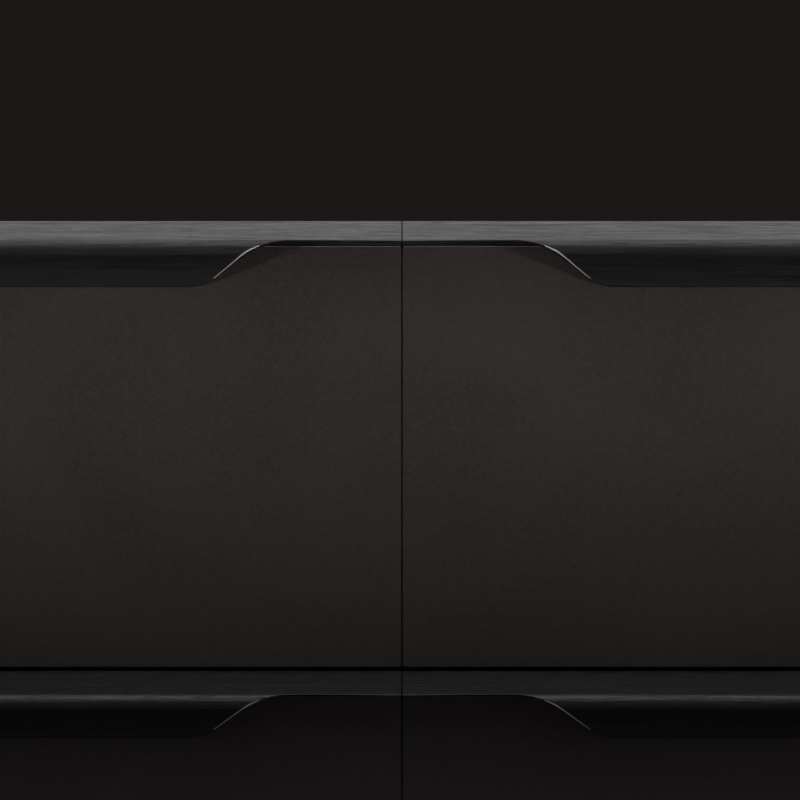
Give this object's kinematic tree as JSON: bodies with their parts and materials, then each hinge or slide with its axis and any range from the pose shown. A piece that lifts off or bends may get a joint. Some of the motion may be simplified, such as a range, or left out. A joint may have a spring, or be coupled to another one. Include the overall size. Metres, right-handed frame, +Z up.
{
  "type": "dresser",
  "caption": "Low, wide dresser with leather-faced drawers, sloped wood grip rails with an S-shaped finger pull at the centre seam, concealed full-extension runners and a recessed plinth.",
  "frame": {"origin": "floor level, at the middle of the overall width and depth", "axes": "+X to the viewer's right along the width, +Y to the back, +Z up; the drawers open towards -Y"},
  "size_m": [1.56, 0.532, 0.81],
  "materials": {
    "stained_oak": "black-stained open-pore oak, satin lacquer",
    "front_covering": "matte fine-grained brown-grey leather",
    "drawer_oak": "clear matt oiled oak",
    "drawer_bottom": "grey-brown matt laminate",
    "back_board": "dark stained veneer, matt",
    "plinth_black": "black matt lacquer",
    "foot_plastic": "black moulded",
    "zinc_steel": "zinc plated",
    "beech": "plain turned beech",
    "pad_rubber": "clear soft"
  },
  "bodies": {
    "carcass": {"top_panel": "stained_oak", "bottom_panel": "stained_oak", "left_side_panel": "stained_oak", "right_side_panel": "stained_oak", "centre_divider": "stained_oak", "back_panel": "back_board", "plinth_frame": "plinth_black", "levelling_feet": "foot_plastic", "carcass_runners": "zinc_steel", "carcass_screws": "zinc_steel", "carcass_dowels": "beech", "bumper_pads": "pad_rubber"},
    "top_left_drawer": {"top_left_front_board": "front_covering", "top_left_grip_rail": "stained_oak", "top_left_inner_side": "drawer_oak", "top_left_outer_side": "drawer_oak", "top_left_back": "drawer_oak", "top_left_bottom": "drawer_bottom", "top_left_fittings": "zinc_steel"},
    "top_left_runner": {"top_left_runner_middle": "zinc_steel"},
    "top_right_drawer": {"top_right_front_board": "front_covering", "top_right_grip_rail": "stained_oak", "top_right_inner_side": "drawer_oak", "top_right_outer_side": "drawer_oak", "top_right_back": "drawer_oak", "top_right_bottom": "drawer_bottom", "top_right_fittings": "zinc_steel"},
    "top_right_runner": {"top_right_runner_middle": "zinc_steel"},
    "middle_left_drawer": {"middle_left_front_board": "front_covering", "middle_left_grip_rail": "stained_oak", "middle_left_inner_side": "drawer_oak", "middle_left_outer_side": "drawer_oak", "middle_left_back": "drawer_oak", "middle_left_bottom": "drawer_bottom", "middle_left_fittings": "zinc_steel"},
    "middle_left_runner": {"middle_left_runner_middle": "zinc_steel"},
    "middle_right_drawer": {"middle_right_front_board": "front_covering", "middle_right_grip_rail": "stained_oak", "middle_right_inner_side": "drawer_oak", "middle_right_outer_side": "drawer_oak", "middle_right_back": "drawer_oak", "middle_right_bottom": "drawer_bottom", "middle_right_fittings": "zinc_steel"},
    "middle_right_runner": {"middle_right_runner_middle": "zinc_steel"},
    "bottom_left_drawer": {"bottom_left_front_board": "front_covering", "bottom_left_grip_rail": "stained_oak", "bottom_left_inner_side": "drawer_oak", "bottom_left_outer_side": "drawer_oak", "bottom_left_back": "drawer_oak", "bottom_left_bottom": "drawer_bottom", "bottom_left_fittings": "zinc_steel"},
    "bottom_left_runner": {"bottom_left_runner_middle": "zinc_steel"},
    "bottom_right_drawer": {"bottom_right_front_board": "front_covering", "bottom_right_grip_rail": "stained_oak", "bottom_right_inner_side": "drawer_oak", "bottom_right_outer_side": "drawer_oak", "bottom_right_back": "drawer_oak", "bottom_right_bottom": "drawer_bottom", "bottom_right_fittings": "zinc_steel"},
    "bottom_right_runner": {"bottom_right_runner_middle": "zinc_steel"}
  },
  "joints": [
    {"name": "top_left_drawer_slide", "type": "slide", "parent": "carcass", "child": "top_left_drawer", "axis": [0, -1, 0], "range_m": [0, 0.43]},
    {"name": "top_left_runner_slide", "type": "slide", "parent": "carcass", "child": "top_left_runner", "axis": [0, -1, 0], "range_m": [0, 0.215]},
    {"name": "top_right_drawer_slide", "type": "slide", "parent": "carcass", "child": "top_right_drawer", "axis": [0, -1, 0], "range_m": [0, 0.43]},
    {"name": "top_right_runner_slide", "type": "slide", "parent": "carcass", "child": "top_right_runner", "axis": [0, -1, 0], "range_m": [0, 0.215]},
    {"name": "middle_left_drawer_slide", "type": "slide", "parent": "carcass", "child": "middle_left_drawer", "axis": [0, -1, 0], "range_m": [0, 0.43]},
    {"name": "middle_left_runner_slide", "type": "slide", "parent": "carcass", "child": "middle_left_runner", "axis": [0, -1, 0], "range_m": [0, 0.215]},
    {"name": "middle_right_drawer_slide", "type": "slide", "parent": "carcass", "child": "middle_right_drawer", "axis": [0, -1, 0], "range_m": [0, 0.43]},
    {"name": "middle_right_runner_slide", "type": "slide", "parent": "carcass", "child": "middle_right_runner", "axis": [0, -1, 0], "range_m": [0, 0.215]},
    {"name": "bottom_left_drawer_slide", "type": "slide", "parent": "carcass", "child": "bottom_left_drawer", "axis": [0, -1, 0], "range_m": [0, 0.43]},
    {"name": "bottom_left_runner_slide", "type": "slide", "parent": "carcass", "child": "bottom_left_runner", "axis": [0, -1, 0], "range_m": [0, 0.215]},
    {"name": "bottom_right_drawer_slide", "type": "slide", "parent": "carcass", "child": "bottom_right_drawer", "axis": [0, -1, 0], "range_m": [0, 0.43]},
    {"name": "bottom_right_runner_slide", "type": "slide", "parent": "carcass", "child": "bottom_right_runner", "axis": [0, -1, 0], "range_m": [0, 0.215]}
  ],
  "couplings": [
    {"joint": "top_left_runner_slide", "follows": "top_left_drawer_slide", "ratio": 0.5},
    {"joint": "top_right_runner_slide", "follows": "top_right_drawer_slide", "ratio": 0.5},
    {"joint": "middle_left_runner_slide", "follows": "middle_left_drawer_slide", "ratio": 0.5},
    {"joint": "middle_right_runner_slide", "follows": "middle_right_drawer_slide", "ratio": 0.5},
    {"joint": "bottom_left_runner_slide", "follows": "bottom_left_drawer_slide", "ratio": 0.5},
    {"joint": "bottom_right_runner_slide", "follows": "bottom_right_drawer_slide", "ratio": 0.5}
  ]
}
